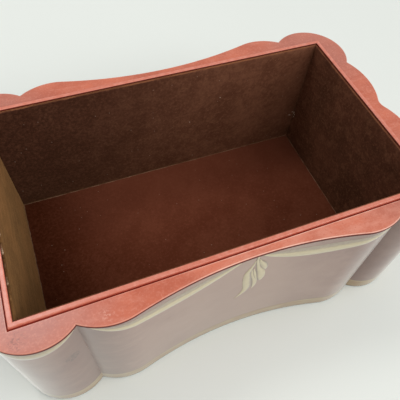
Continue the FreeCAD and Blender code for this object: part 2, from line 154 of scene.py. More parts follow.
# Finishes that several materials share
SATIN = {"Coat_Weight": 0.6, "Coat_Roughness": 0.26, "Specular_IOR_Level": 0.2}
GLOSS = {"Coat_Weight": 1.0, "Coat_Roughness": 0.16, "Coat_IOR": 1.5, "Roughness": 0.5}
SOFT_HAZE = {"Sheen_Weight": 0.8, "Sheen_Roughness": 0.21, "Sheen_Tint": HAZE}
MATT = {"Roughness": 0.6, "Specular_IOR_Level": 0.2}

# Marks of use, each full within its core and gone at its reach: a scuff and chips on the rim, a smudge on a
# column, and lint caught in a corner of the well
Mark = namedtuple("Mark", "place core reach")
RIM_SCUFF = Mark(Vector((-102 * MM, -102 * MM, RIM_HIGH.z)), 1 * MM, 6 * MM)
RIM_CHIPS = Mark(Vector((-155 * MM, -100 * MM, RIM_HIGH.z)), 2 * MM, 8 * MM)
SMUDGE = Mark(Vector((-131 * MM, -107.5 * MM, 94 * MM)), 4.2 * MM, 6.2 * MM)
CAUGHT_LINT = Mark(LINING_LOW + Vector((0, LINING_HIGH.y * 2, 38 * MM)), 5 * MM, 7 * MM)

# Lint on the suede: the spacing of the specks, their radius and the share of the places that hold one
FINE_LINT = (6 * MM, 0.4 * MM, 0.35)
COARSE_LINT = (26 * MM, 0.55 * MM, 0.25)
THICK_LINT = (3 * MM, 0.9 * MM, 0.8)


# Outline

Spot = namedtuple("Spot", "place normal")


def crossing(first, first_radius, second, second_radius, axis):
    """Where two circles cross, the point further out along axis."""
    gap = second - first
    along = (first_radius ** 2 - second_radius ** 2 + gap.length_squared) / (2 * gap.length)
    across = math.sqrt(first_radius ** 2 - along ** 2)
    direction = gap.normalized()
    normal = Vector((-direction.y, direction.x))
    middle = first + direction * along
    return max(middle + normal * across, middle - normal * across, key=lambda point: point[axis])


def arc(centre, start, end, steps, convex=True):
    """Spots along an arc from start to end, counter-clockwise if convex and clockwise if hollow."""
    radius = (start - centre).length
    first = math.atan2(start.y - centre.y, start.x - centre.x)
    last = math.atan2(end.y - centre.y, end.x - centre.x)
    sweep = (last - first) % (2 * math.pi) if convex else -((first - last) % (2 * math.pi))
    spots = []
    for i in range(steps + 1):
        angle = first + sweep * i / steps
        outward = Vector((math.cos(angle), math.sin(angle)))
        spots.append(Spot(centre + outward * radius, outward if convex else -outward))
    return spots


class Outline:
    """The cusped outline, drawn in by inset, as one run of spots for each wall and column."""

    LOBE_STEPS = 96
    BULGE_STEPS = 48
    LONG_WAIST_STEPS = 32
    SHORT_WAIST_STEPS = 12

    def __init__(self, inset=0.0):
        lobe, long_bulge = LOBE_CENTRE, LONG_BULGE_CENTRE
        # The centres of a bulge and of the waist beside it lie the sum of their radii apart
        long_radii = (long_bulge.x ** 2 + LONG_WAIST_DEPTH ** 2) / (2 * LONG_WAIST_DEPTH)
        long_waist = Vector((0, long_bulge.y - LONG_WAIST_DEPTH + long_radii))
        bulge_y = lobe.y * SHORT_BULGE_PLACE
        short_radii = (bulge_y ** 2 + SHORT_WAIST_DEPTH ** 2) / (2 * SHORT_WAIST_DEPTH)
        short_radius = short_radii - SHORT_WAIST_RADIUS
        short_bulge = Vector((HALF_LENGTH - short_radius, bulge_y))
        short_waist = Vector((HALF_LENGTH - SHORT_WAIST_DEPTH + SHORT_WAIST_RADIUS, 0))

        lobe_radius = LOBE_RADIUS - inset
        long_cusp = crossing(lobe, lobe_radius, long_bulge, LONG_BULGE_RADIUS - inset, 1)
        short_cusp = crossing(lobe, lobe_radius, short_bulge, short_radius - inset, 0)
        long_turn = long_bulge + (long_waist - long_bulge).normalized() * (LONG_BULGE_RADIUS - inset)
        short_turn = short_bulge + (short_waist - short_bulge).normalized() * (short_radius - inset)
        long_middle = Vector((0, HALF_WIDTH - LONG_WAIST_DEPTH - inset))
        short_middle = Vector((HALF_LENGTH - SHORT_WAIST_DEPTH - inset, 0))

        half_short = arc(short_waist, short_middle, short_turn, self.SHORT_WAIST_STEPS, False)
        half_short += arc(short_bulge, short_turn, short_cusp, self.BULGE_STEPS)[1:]
        corner = arc(lobe, short_cusp, long_cusp, self.LOBE_STEPS)
        half_long = arc(long_bulge, long_cusp, long_turn, self.BULGE_STEPS)
        half_long += arc(long_waist, long_turn, long_middle, self.LONG_WAIST_STEPS, False)[1:]

        right = self.mirrored(half_short, 1, -1)[:-1] + half_short
        back = half_long + self.mirrored(half_long, -1, 1)[1:]
        self.runs = {
            "right_wall": right,
            "back_right_column": corner,
            "back_wall": back,
            "back_left_column": self.mirrored(corner, -1, 1),
            "left_wall": self.turned(right),
            "front_left_column": self.turned(corner),
            "front_wall": self.turned(back),
            "front_right_column": self.mirrored(corner, 1, -1),
        }

    @staticmethod
    def mirrored(spots, sx, sy):
        """Spots mirrored by the signs of sx and sy, in the order that keeps them counter-clockwise."""
        return [
            Spot(Vector((s.place.x * sx, s.place.y * sy)), Vector((s.normal.x * sx, s.normal.y * sy)))
            for s in reversed(spots)
        ]

    @staticmethod
    def turned(spots):
        """Spots turned half round the Z axis."""
        return [Spot(-s.place, -s.normal) for s in spots]

    def loop(self):
        """Every place on the outline once, counter-clockwise."""
        return [spot.place for run in self.runs.values() for spot in run[:-1]]


# Shader helper

class Shader:
    """A material with one principled shader, and short calls for the nodes that feed it.

    It starts with one colour, and other colours are laid over that.
    """

    def __init__(self, name, colour, **sockets):
        self.material = bpy.data.materials.new(name)
        self.material.use_nodes = True
        self.tree = self.material.node_tree
        self.surface = self.tree.nodes["Principled BSDF"]
        self.colour = colour
        self.set(**sockets)
        self.place = self.add("TexCoord", {}).outputs["Object"]

    def set(self, **sockets):
        """Socket values by name, with underscores for spaces. An output is linked."""
        for name, value in sockets.items():
            self.feed(self.surface.inputs[name.replace("_", " ")], value)

    def feed(self, socket, value):
        """Link an output to a socket, or set the socket to a constant."""
        if isinstance(value, bpy.types.NodeSocket):
            self.tree.links.new(value, socket)
        else:
            socket.default_value = value

    def add(self, kind, inputs, **properties):
        """A node with its properties set and its inputs fed, by name or by number."""
        node = self.tree.nodes.new("ShaderNode" + kind)
        for name, value in properties.items():
            setattr(node, name, value)
        for name, value in inputs.items():
            self.feed(node.inputs[name], value)
        return node

    def stretched(self, x, y, z):
        """The place, scaled along each axis."""
        return self.add("Mapping", {"Vector": self.place, "Scale": (x, y, z)}).outputs["Vector"]

    def noise(self, size, detail=3.0, roughness=0.55, distortion=0.0, place=None):
        """Noise whose features are about size metres."""
        inputs = {"Vector": place or self.place, "Scale": 1 / size, "Detail": detail}
        inputs.update({"Roughness": roughness, "Distortion": distortion})
        return self.add("TexNoise", inputs).outputs["Fac"]

    def specks(self, spacing, radius, share):
        """Round specks: a share of the cells of a grid of that spacing holds one."""
        cells = self.add("TexVoronoi", {"Vector": self.place, "Scale": 1 / spacing})
        near = self.math("LESS_THAN", cells.outputs["Distance"], radius / spacing)
        split = self.add("SeparateColor", {"Color": cells.outputs["Color"]})
        chosen = self.math("LESS_THAN", split.outputs["Red"], share)
        return self.times(near, chosen)

    def math(self, operation, first, second=0.0, clamp=False):
        node = self.add("Math", {0: first, 1: second}, operation=operation, use_clamp=clamp)
        return node.outputs[0]

    def times(self, first, second):
        return self.math("MULTIPLY", first, second)

    def near(self, mark):
        """One within the core of a mark, falling to nothing at its reach."""
        away = self.add("VectorMath", {0: self.place, 1: mark.place}, operation="DISTANCE")
        return self.between(away.outputs["Value"], mark.core, mark.reach, 1, 0)

    def axis(self, name):
        """The place along the axis X, Y or Z."""
        return self.add("SeparateXYZ", {"Vector": self.place}).outputs[name]

    def past(self, name, limit):
        """How far the place lies past a limit along an axis, on either side."""
        return self.math("SUBTRACT", self.math("ABSOLUTE", self.axis(name)), limit)

    def beyond(self, half_x, half_y):
        """How far the place lies outside an upright rectangle round the Z axis, negative inside."""
        return self.math("MAXIMUM", self.past("X", half_x), self.past("Y", half_y))

    def distance(self, corner):
        """How far the place lies from an upright line through corner, mirrored into all four quarters."""
        squares = [self.math("POWER", self.past(name, limit), 2.0) for name, limit in zip("XY", corner)]
        return self.math("SQRT", self.math("ADD", *squares))

    def attribute(self, name):
        """A number that the mesh stores at each point."""
        return self.add("Attribute", {}, attribute_name=name).outputs["Fac"]

    def between(self, value, low, high, to_low=0.0, to_high=1.0):
        """Value mapped smoothly from low..high to to_low..to_high, and held outside."""
        inputs = {"Value": value, "From Min": low, "From Max": high, "To Min": to_low, "To Max": to_high}
        return self.add("MapRange", inputs, interpolation_type="SMOOTHSTEP").outputs["Result"]

    def mix(self, share, first, second):
        """A colour between two others, given the share of the second."""
        return self.add("Mix", {0: share, 6: first, 7: second}, data_type="RGBA").outputs[2]

    def cover(self, share, colour):
        """Lay another colour over what is there."""
        self.colour = self.mix(share, self.colour, colour)
        self.set(Base_Color=self.colour)

    def bump(self, *layers):
        """Stack bumps given as (height, depth in metres, strength)."""
        inputs = {}
        for height, depth, strength in layers:
            inputs.update({"Height": height, "Distance": depth, "Strength": strength})
            normal = self.add("Bump", inputs).outputs["Normal"]
            inputs = {"Normal": normal}
        self.set(Normal=normal)


# Materials

def make_rim_paint():
    """Brick-red satin paint, brushed and faintly pitted, with painted light on its front, edges pale from
    wear and a painted highlight, and a dark side.
    """
    shader = Shader("rim_paint", RIM_DEEP, **SATIN)
    patches = shader.noise(34 * MM, 4)
    grain = shader.noise(5 * MM, 5, 0.65, place=shader.stretched(0.4, 1, 1))
    pits = shader.noise(2 * MM, 4, 0.7)
    speckle = shader.noise(1.7 * MM, 3, 0.6)
    shader.cover(shader.between(patches, 0.35, 0.65), RIM_FULL)
    shader.cover(shader.between(grain, 0.45, 0.8, 0, 0.45), RIM_PALE)
    shader.cover(shader.between(shader.distance(LOBE_CENTRE), 20 * MM, 62 * MM, 0.5, 0), RIM_DULL)

    # Painted light: the front of the rim is painted paler, most to the right of its middle
    front = shader.between(shader.axis("Y"), -LINER_HALF_WIDTH, RIM_GROOVE - LINER_HALF_WIDTH, 1, 0)
    away = shader.math("ABSOLUTE", shader.math("SUBTRACT", shader.axis("X"), 40 * MM))
    lit_front = shader.times(front, shader.between(away, 30 * MM, 120 * MM, 1, 0))
    lit_front_paint = shader.times(lit_front, shader.between(grain, 0.3, 0.7, 0.2, 0.7))
    shader.cover(lit_front_paint, RIM_PALE)

    shader.cover(shader.between(speckle, 0.45, 0.75, 0, 0.4), RIM_PALE)
    scratched = shader.times(shader.near(RIM_SCUFF), shader.between(speckle, 0.45, 0.7, 0, 0.3))
    shader.cover(scratched, RIM_RUBBED)
    chipped = shader.times(shader.near(RIM_CHIPS), shader.between(pits, 0.5, 0.6, 0, 0.5))
    shader.cover(chipped, RIM_SIDE)
    shader.cover(shader.between(pits, 0.3, 0.45, 0.6, 0), RIM_DEEP)

    # Pale edges: partly worn paint, partly a painted highlight, strongest on the front
    worn = shader.times(shader.attribute("edge"), shader.between(grain, 0.3, 0.6, 0.35, 0.75))
    worn = shader.times(worn, shader.between(lit_front, 0, 1, 0.35, 1))
    shader.cover(worn, RIM_RUBBED)
    shader.cover(shader.attribute("side"), RIM_SIDE)
    shader.cover(shader.attribute("groove"), GROOVE)
    shader.set(Roughness=shader.between(patches, 0.3, 0.7, 0.34, 0.46))
    shader.bump((grain, 0.06 * MM, 0.3), (pits, 0.06 * MM, 0.5))
    return shader.material


def make_lip_paint():
    """The rim's paint on the lip, paler from wear, dark on its inner side and deep red in the groove."""
    shader = Shader("lip_paint", LIP_FULL, Roughness=0.42, **SATIN)
    grain = shader.noise(4 * MM, 5, 0.65)
    shader.cover(shader.between(grain, 0.35, 0.7), LIP_PALE)
    across = shader.beyond(LINER_HALF_LENGTH - LIP_WIDTH, LINER_HALF_WIDTH - LIP_WIDTH)
    low = shader.between(shader.axis("Z"), LIP_TOP - 0.7 * MM, LIP_TOP - 0.25 * MM, 1, 0)
    inner = shader.times(low, shader.between(across, 0.1 * MM, 0.4 * MM, 1, 0))
    shader.cover(inner, LIP_SIDE)
    sunk = shader.between(shader.axis("Z"), RIM_HIGH.z - 0.3 * MM, RIM_HIGH.z + 0.3 * MM, 1, 0)
    outer = shader.times(sunk, shader.between(across, LIP_WIDTH - 0.3 * MM, LIP_WIDTH, 0, 1))
    shader.cover(outer, GROOVE)
    shader.bump((grain, 0.04 * MM, 0.3), (shader.noise(1.3 * MM, 3, 0.6), 0.05 * MM, 0.4))
    return shader.material


def make_body_lacquer():
    """Greyed mauve under clear gloss lacquer with a soft haze, painted shade and a painted reflection, and a
    gold band round the foot.
    """
    shader = Shader("body_lacquer", BODY_DEEP, **GLOSS, **SOFT_HAZE)
    cloud = shader.noise(70 * MM, 4, 0.6)
    brushed = shader.noise(14 * MM, 4, 0.6, 0.4, shader.stretched(0.5, 0.5, 1))
    mottle = shader.noise(3 * MM, 4, 0.65)
    shader.cover(shader.between(cloud, 0.38, 0.62), BODY_FULL)
    shader.cover(shader.between(brushed, 0.4, 0.8, 0, 0.3), BODY_PALE)
    shader.cover(shader.between(mottle, 0.5, 0.8, 0, 0.2), BODY_PALE)

    # Painted shade in the cusps and on the columns, and a paler painted reflection at the waists of the long
    # walls
    cusps = Outline(RIM_OVERHANG).runs["back_right_column"]
    recess = shader.math("MINIMUM", shader.distance(cusps[0].place), shader.distance(cusps[-1].place))
    cusp_shade = shader.math("ADD", recess, shader.between(brushed, 0.3, 0.7, -5 * MM, 5 * MM))
    shader.cover(shader.between(cusp_shade, 0.0, 45 * MM, 0.55, 0), BODY_PAINTED_SHADE)
    shader.cover(shader.between(shader.distance(LOBE_CENTRE), 30 * MM, 45 * MM, 0.2, 0), BODY_PAINTED_SHADE)
    # Painted reflection: paler towards the middle of each long wall
    waist = shader.between(shader.math("ABSOLUTE", shader.axis("X")), 20 * MM, 90 * MM, 0.5, 0)
    shader.cover(waist, BODY_PALE)

    scratches = shader.between(shader.noise(2.2 * MM, 3, 0.6, 1.0), 0.44, 0.54, 0, 0.6)
    shader.cover(shader.times(shader.near(SMUDGE), scratches), SMUDGE_AND_FOOT_SHADE)
    add_foot_band(shader)
    shader.bump((shader.noise(25 * MM, 2), 0.1 * MM, 0.1))
    return shader.material


def add_foot_band(shader):
    """A gold band round the foot, between a thin dark line and a lower edge darkened as painted contact
    shadow.
    """
    wander = 1.2 * MM
    top = GOLD_BAND_TOP + wander / 2
    height = shader.math("ADD", shader.axis("Z"), shader.times(shader.noise(9 * MM, 2), wander))
    shader.cover(shader.between(height, top + 0.8 * MM, top + 1.4 * MM, 0.55, 0), BAND_LINE)
    strokes = shader.noise(5 * MM, 4, 0.6, place=shader.stretched(0.2, 0.2, 1))
    gold = shader.mix(shader.between(strokes, 0.35, 0.7), BAND_DEEP, BAND_FULL)
    shader.cover(shader.between(height, top - 0.3 * MM, top + 0.3 * MM, 0.9, 0), gold)
    # Painted contact shadow: darker along the lowest few millimetres
    shader.cover(shader.between(height, 1.6 * MM, 3.2 * MM, 0.8, 0), SMUDGE_AND_FOOT_SHADE)


def make_matt_paint(name, colour, grime):
    """The rim's paint where nobody rubs it, matt and a little grimy."""
    shader = Shader(name, colour, **MATT)
    shader.cover(shader.between(shader.noise(6 * MM, 3), 0.4, 0.7, 0, 0.5), grime)
    return shader.material


def make_gold_paint():
    """Pale gold ornament paint, darker where the painter shaded the folds."""
    shader = Shader("gold_paint", GOLD_LINE, **GLOSS, **SOFT_HAZE)
    strokes = shader.noise(2.5 * MM, 4, 0.6)
    wander = shader.between(strokes, 0.3, 0.7, -0.05, 0.05)
    tone = shader.math("ADD", shader.attribute("tone"), wander, clamp=True)
    shader.cover(shader.between(tone, 0.0, 0.35), GOLD_DEEP)
    shader.cover(shader.between(tone, 0.35, 1.0), GOLD_FULL)
    shader.bump((strokes, 0.03 * MM, 0.3))
    return shader.material


Shade = namedtuple("Shade", "colour start end share")


def make_suede(name, tones, edges, sheen, streaked, mottled, shade=None):
    """Napped suede cloth: cloudy patches, brushed streaks, fine fuzz, a sheen, lint and worn edges.

    tones are the colours of the lying, the usual and the raised nap. edges takes the shader and adds
    the edges. streaked is the share of the streaks and mottled that of the small patches. shade is
    painted shade at the cloth's left: its colour, the X at which it starts to fade, the X at which it
    ends, and its share.
    """
    deep, full, raised = tones
    shader = Shader(name, deep, Roughness=0.95, Specular_IOR_Level=0.1, Sheen_Roughness=0.4)
    shader.set(Sheen_Weight=sheen, Sheen_Tint=SUEDE_SHEEN)
    patches = shader.noise(42 * MM, 5, 0.6)
    streaks = shader.noise(5 * MM, 5, 0.65, 0.6, shader.stretched(0.14, 0.14, 1))
    mottle = shader.noise(11 * MM, 4, 0.65, 0.3)
    fuzz = shader.noise(2.6 * MM, 5, 0.8)
    shader.cover(shader.between(patches, 0.35, 0.65), full)
    shader.cover(shader.between(streaks, 0.42, 0.66, 0, streaked), raised)
    shader.cover(shader.between(streaks, 0.3, 0.42, streaked, 0), deep)
    shader.cover(shader.between(mottle, 0.5, 0.68, 0, mottled), raised)
    shader.cover(shader.between(mottle, 0.32, 0.5, mottled, 0), deep)
    shader.cover(shader.between(fuzz, 0.5, 0.7, 0, 0.7), raised)
    shader.cover(shader.between(fuzz, 0.32, 0.48, 0.7, 0), deep)
    if shade:
        # Painted shade at the cloth's left, covering raised nap less than lying nap
        share = shader.between(shader.axis("X"), shade.start, shade.end, shade.share, 0)
        shader.cover(shader.times(share, shader.between(fuzz, 0.35, 0.65, 1.15, 0.8)), shade.colour)
    shader.cover(shader.times(shader.specks(*FINE_LINT), 0.5), LINT)
    shader.cover(shader.specks(*COARSE_LINT), LINT)
    shader.cover(shader.times(shader.near(CAUGHT_LINT), shader.specks(*THICK_LINT)), LINT)
    edges(shader)
    shader.bump((patches, 0.15 * MM, 0.2), (streaks, 0.15 * MM, 0.3), (fuzz, 0.2 * MM, 0.7))
    return shader.material


def ragged_height(shader):
    """The height, made uneven so that an edge drawn at one height comes out ragged."""
    return shader.math("ADD", shader.axis("Z"), shader.times(shader.noise(2.5 * MM, 3), 1.2 * MM))


def broken(shader, share):
    """A share that comes and goes along an edge."""
    return shader.times(share, shader.between(shader.noise(14 * MM, 3), 0.4, 0.56, 0.4, 1))


def wall_edges(shader):
    """The cut top edge of a wall lining and the dusty seam at its foot."""
    height = ragged_height(shader)
    top = shader.between(height, LINING_HIGH.z - 0.1 * MM, LINING_HIGH.z + 0.6 * MM, 0, 0.9)
    dust = shader.between(height, WELL_FLOOR + 0.7 * MM, WELL_FLOOR + 1.4 * MM, 0.9, 0)
    shader.cover(broken(shader, top), CUT_EDGE)
    shader.cover(broken(shader, dust), DUST)


def frayed_edges(shader):
    """A cut top edge that is frayed to pale threads."""
    height = ragged_height(shader)
    top = shader.between(height, LINING_HIGH.z + 0.2 * MM, LINING_HIGH.z + 0.8 * MM, 0, 1)
    threads = shader.times(top, shader.between(shader.noise(7 * MM, 4, 0.7), 0.48, 0.66, 0, 0.8))
    shader.cover(threads, FRAYED)


def floor_edges(shader):
    """Painted light, paler towards the back of the floor lining away from its left, and dust along its
    seams.
    """
    # Painted light: paler towards the back, but not at the left
    brushed = shader.between(shader.axis("Y"), -20 * MM, 80 * MM, 0, 0.4)
    brushed = shader.times(brushed, shader.between(shader.axis("X"), -150 * MM, -60 * MM))
    shader.cover(brushed, FLOOR_RAISED)
    ragged = shader.times(shader.noise(4 * MM, 3), 1.5 * MM)
    inside = shader.math("ADD", shader.beyond(LINER_HALF_LENGTH, LINER_HALF_WIDTH), ragged)
    seam = LINER_HALF_LENGTH - LINING_LOW.x
    dust = shader.between(inside, -seam + 0.1 * MM, -seam + 0.9 * MM, 0, 0.55)
    shader.cover(broken(shader, dust), DUST)


def make_felt():
    """Pressed wool felt with matted fibres."""
    shader = Shader("felt", FELT_DEEP, Roughness=1.0, Specular_IOR_Level=0.1)
    shader.set(Sheen_Weight=0.3, Sheen_Roughness=0.6)
    fibres = shader.noise(1.2 * MM, 4, 0.7, 1.5)
    shader.cover(shader.between(fibres, 0.3, 0.7), FELT_FULL)
    shader.bump((fibres, 0.15 * MM, 0.7))
    return shader.material


def make_screw_steel():
    """Zinc-plated steel with a faint haze."""
    shader = Shader("screw_steel", STEEL_DULL, Metallic=1.0)
    haze = shader.noise(1.5 * MM, 3)
    shader.cover(haze, STEEL_BRIGHT)
    shader.set(Roughness=shader.between(haze, 0.3, 0.7, 0.25, 0.45))
    return shader.material


# Mesh helpers

def new_object(name, data):
    """An object with its data, linked into the scene."""
    thing = bpy.data.objects.new(name, data)
    bpy.context.scene.collection.objects.link(thing)
    return thing


def mesh_object(name, bm, material):
    """An object with the mesh of a bmesh, which is freed."""
    mesh = bpy.data.meshes.new(name)
    bm.to_mesh(mesh)
    bm.free()
    mesh.materials.append(material)
    return new_object(name, mesh)


def new_piece(name, bm, material):
    """A smooth mesh object from a bmesh, riding on the box."""
    bmesh.ops.recalc_face_normals(bm, faces=bm.faces)
    piece = mesh_object(name, bm, material)
    for polygon in piece.data.polygons:
        polygon.use_smooth = True
    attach(piece, "root")
    return piece


def shade_by_angle(piece, degrees):
    """Keep the edges crisp that turn by more than an angle."""
    piece.data.set_sharp_from_angle(angle=math.radians(degrees))


def ring(bm, places, height):
    """Points of a level ring."""
    return [bm.verts.new((place.x, place.y, height)) for place in places]


def bridge(bm, first, second):
    """Quads between two closed rings of as many points."""
    for i in range(len(first)):
        j = (i + 1) % len(first)
        bm.faces.new((first[i], first[j], second[j], second[i]))


def loft(bm, rings):
    """Quads from each ring to the next."""
    for first, second in zip(rings, rings[1:]):
        bridge(bm, first, second)


def ring_edges(bm, verts):
    """The edges round a closed ring."""
    return [bm.edges.get((verts[i], verts[(i + 1) % len(verts)])) for i in range(len(verts))]


def rectangle(half_x, half_y):
    """The corners of a rectangle round the middle, counter-clockwise."""
    return [Vector((half_x * sx, half_y * sy)) for sx, sy in ((1, 1), (-1, 1), (-1, -1), (1, -1))]


# Rim

def mark_rings(layer, rings):
    """Store a one at each point of some rings."""
    for verts in rings:
        for vert in verts:
            vert[layer] = 1.0


def make_rim(material, side_paint):
    """The rim plate with a rounded outer edge, a dark side and a softened edge at the groove."""
    thickness = RIM_HIGH.z - RIM_LOW.z
    bevel = 0.3 * MM
    rounding = 0.7 * MM
    steps = 4
    softening = 0.35 * MM
    # Inset and height up the outer side
    section = [(bevel, 0.0), (bevel / 5, bevel / 5), (0.0, bevel)]
    for i in range(steps + 1):
        angle = math.pi / 2 * i / steps
        section.append((rounding * (1 - math.cos(angle)), thickness - rounding * (1 - math.sin(angle))))
    section.append((rounding + softening, thickness))
    # Distance back from the hole and height up its side
    groove_section = (
        (0.0, 0.0),
        (0.0, thickness - softening),
        (0.1 * MM, thickness - 0.1 * MM),
        (softening, thickness),
        (0.9 * MM, thickness),
    )
    bm = bmesh.new()
    edge = bm.verts.layers.float.new("edge")
    side = bm.verts.layers.float.new("side")
    groove = bm.verts.layers.float.new("groove")
    outer = [ring(bm, Outline(inset).loop(), RIM_LOW.z + height) for inset, height in section]
    hole_x = LINER_HALF_LENGTH + RIM_GROOVE
    hole_y = LINER_HALF_WIDTH + RIM_GROOVE
    hole = []
    for back, height in groove_section:
        hole.append(ring(bm, rectangle(hole_x + back, hole_y + back), RIM_LOW.z + height))
    loft(bm, outer)
    loft(bm, hole)
    # The edges are worn pale and carry a painted highlight, and the side is dark to a little way up the
    # rounding
    mark_rings(edge, outer[-3:-1] + hole[-3:-1])
    mark_rings(side, outer[:5])
    mark_rings(groove, hole[:2])
    for face in bm.faces:
        if all(vert[side] for vert in face.verts):
            face.material_index = 1
    for outside, inside in ((outer[-1], hole[-1]), (outer[0], hole[0])):
        edges = ring_edges(bm, outside) + ring_edges(bm, inside)
        bmesh.ops.triangle_fill(bm, edges=edges, use_beauty=True)
    piece = new_piece("rim_plate", bm, material)
    piece.data.materials.append(side_paint)
    shade_by_angle(piece, degrees=40)
    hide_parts("rim")


# Walls and columns

PILOT_RADIUS = 1.8 * MM
PILOT_STEPS = 20


def behind(place):
    """The outer face of the liner boards, straight behind a place on the outline."""
    if abs(place.y) > LINER_HALF_WIDTH:
        return Vector((place.x, math.copysign(LINER_HALF_WIDTH, place.y)))
    return Vector((math.copysign(LINER_HALF_LENGTH, place.x), place.y))


def in_quarter(place, other):
    """A place mirrored into the quarter of the box that another place is in."""
    return Vector((math.copysign(place.x, other.x), math.copysign(place.y, other.y)))


def pilot_places(node, start):
    """Where base screws enter: one in each column, two in each long wall and none in the end walls.

    start is where the outline of the wall or column starts, and tells which side of the box it is on.
    """
    if node.endswith("_column"):
        depth = (LINER_HALF_LENGTH - LOBE_CENTRE.x + (LOBE_RADIUS - RIM_OVERHANG) / math.sqrt(2)) / 2
        return [in_quarter(LOBE_CENTRE + Vector((depth, depth)), start)]
    if node in ("front_wall", "back_wall"):
        middle = math.copysign((LINER_HALF_WIDTH + HALF_WIDTH - RIM_OVERHANG) / 2, start.y)
        return [Vector((side * LONG_BULGE_CENTRE.x, middle)) for side in (-1, 1)]
    return []


def make_shells(material, groove_paint):
    """Smooth walls and columns that lean in from the foot to the rim, bored for the base screws."""
    screw_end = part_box("base_screws")[1].z + HAIR_GAP
    foot, top = Outline(FOOT_INSET), Outline(RIM_OVERHANG)
    for node in top.runs:
        bm = bmesh.new()
        rings = []
        for outline, height in ((foot, WALL_LOW.z), (top, WALL_HIGH.z)):
            places = [spot.place for spot in outline.runs[node]]
            start, end = places[0], places[-1]
            places.append(behind(end))
            if node.endswith("_column"):
                places.append(in_quarter(Vector((LINER_HALF_LENGTH, LINER_HALF_WIDTH)), end))
            places.append(behind(start))
            rings.append(ring(bm, places, height))
        bridge(bm, *rings)
        bm.faces.new(rings[1]).material_index = 1
        edges = ring_edges(bm, rings[0])
        for centre in pilot_places(node, start):
            turns = [2 * math.pi * i / PILOT_STEPS for i in range(PILOT_STEPS)]
            circle = [centre + Vector((math.cos(turn), math.sin(turn))) * PILOT_RADIUS for turn in turns]
            mouth = ring(bm, circle, WALL_LOW.z)
            bottom = ring(bm, circle, screw_end)
            bridge(bm, mouth, bottom)
            bm.faces.new(bottom)
            edges += ring_edges(bm, mouth)
        bmesh.ops.triangle_fill(bm, edges=edges, use_beauty=True)
        piece = new_piece(node + "_shell", bm, material)
        piece.data.materials.append(groove_paint)
        shade_by_angle(piece, degrees=30)
        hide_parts(node)


# Linings

PANEL_CELL = 3 * MM
PANEL_ROLL = 0.5 * MM
PANEL_UNEVEN = 0.06 * MM
PANEL_THINNEST = 0.1 * MM
SWELLS_PER_METRE = 45
SEED_STEP = 3.7


def panel_lines(length):
    """Lines across a panel, about a cell apart, and closer where its edges roll over."""
    flat = length - 2 * PANEL_ROLL
    count = max(1, round(flat / PANEL_CELL))
    inner = [PANEL_ROLL + flat * i / count for i in range(count + 1)]
    return [0.0, PANEL_ROLL / 4] + inner + [length - PANEL_ROLL / 4, length]


def soft_panel(name, corner, along, up, out, size, material, seed):
    """A cloth-covered card: flat behind, a slightly uneven front face and rounded edges.

    corner is the lowest corner of the back, along, up and out are unit vectors, and size is the
    length along, the length up and the thickness. seed tells the swells of one panel from another's.
    """
    length, height, thickness = size
    bm = bmesh.new()
    front = []
    for v in panel_lines(height):
        line = []
        for u in panel_lines(length):
            edge = min(u, length - u, v, height - v)
            rolled = max(0.0, 1 - edge / PANEL_ROLL)
            drop = PANEL_ROLL * (1 - math.sqrt(1 - rolled ** 2))
            place = corner + along * u + up * v
            wave = noise.noise((place + Vector((seed, 0, 0))) * SWELLS_PER_METRE) * PANEL_UNEVEN
            wave *= min(1.0, edge / (4 * PANEL_ROLL))
            rise = max(PANEL_THINNEST, thickness - drop - PANEL_UNEVEN + wave)
            line.append(bm.verts.new(place + out * rise))
        front.append(line)
    for lower, upper in zip(front, front[1:]):
        for i in range(len(lower) - 1):
            bm.faces.new((lower[i], lower[i + 1], upper[i + 1], upper[i]))
    border = front[0] + [line[-1] for line in front[1:]]
    border += front[-1][-2::-1] + [line[0] for line in front[-2:0:-1]]
    back = [bm.verts.new(vert.co - out * (vert.co - corner).dot(out)) for vert in border]
    bridge(bm, border, back)
    bm.faces.new(back)
    piece = new_piece(name, bm, material)
    return piece


def make_linings():
    """A panel of suede for each wall of the well and for its floor, those of the long walls alike."""
    # The long walls' suede carries painted shade towards its left
    long_suede = make_suede(
        "wall_suede", (WALL_DEEP, WALL_FULL, SUEDE_RAISED), wall_edges,
        sheen=0.6, streaked=0.12, mottled=0.45, shade=Shade(WALL_PAINTED_SHADE, -140 * MM, 140 * MM, 0.8),
    )
    # The left and right walls take darker copies of the suede, with less sheen: painted shade, set for how
    # light falls on each wall
    left_suede = make_suede(
        "left_suede", (LEFT_DEEP, LEFT_FULL, LEFT_RAISED), frayed_edges,
        sheen=0.4, streaked=0.5, mottled=0.3,
    )
    right_suede = make_suede(
        "right_suede", (RIGHT_DEEP, RIGHT_FULL, SUEDE_RAISED), wall_edges,
        sheen=0.25, streaked=0.12, mottled=0.35,
    )
    # The floor's suede carries painted shade towards its left
    floor_suede = make_suede(
        "floor_suede", (FLOOR_DEEP, FLOOR_FULL, FLOOR_RAISED), floor_edges,
        sheen=0.35, streaked=0.1, mottled=0.15, shade=Shade(FLOOR_PAINTED_SHADE, -150 * MM, -20 * MM, 0.84),
    )
    x, y, z = Vector((1, 0, 0)), Vector((0, 1, 0)), Vector((0, 0, 1))
    # The suede of each panel, and the directions along it, up it and out of it
    panels = {
        "front_lining": (long_suede, x, z, y),
        "back_lining": (long_suede, x, z, -y),
        "left_lining": (left_suede, y, z, x),
        "right_lining": (right_suede, y, z, -x),
        "floor_lining": (floor_suede, x, y, z),
    }
    for seed, (node, (suede, along, up, out)) in enumerate(panels.items()):
        low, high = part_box(node)
        size = [abs((high - low).dot(axis)) for axis in (along, up, out)]
        corner = Vector([high[i] if out[i] < 0 else low[i] for i in range(3)])
        piece = soft_panel("suede_" + node, corner, along, up, out, size, suede, seed * SEED_STEP)
        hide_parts(node)


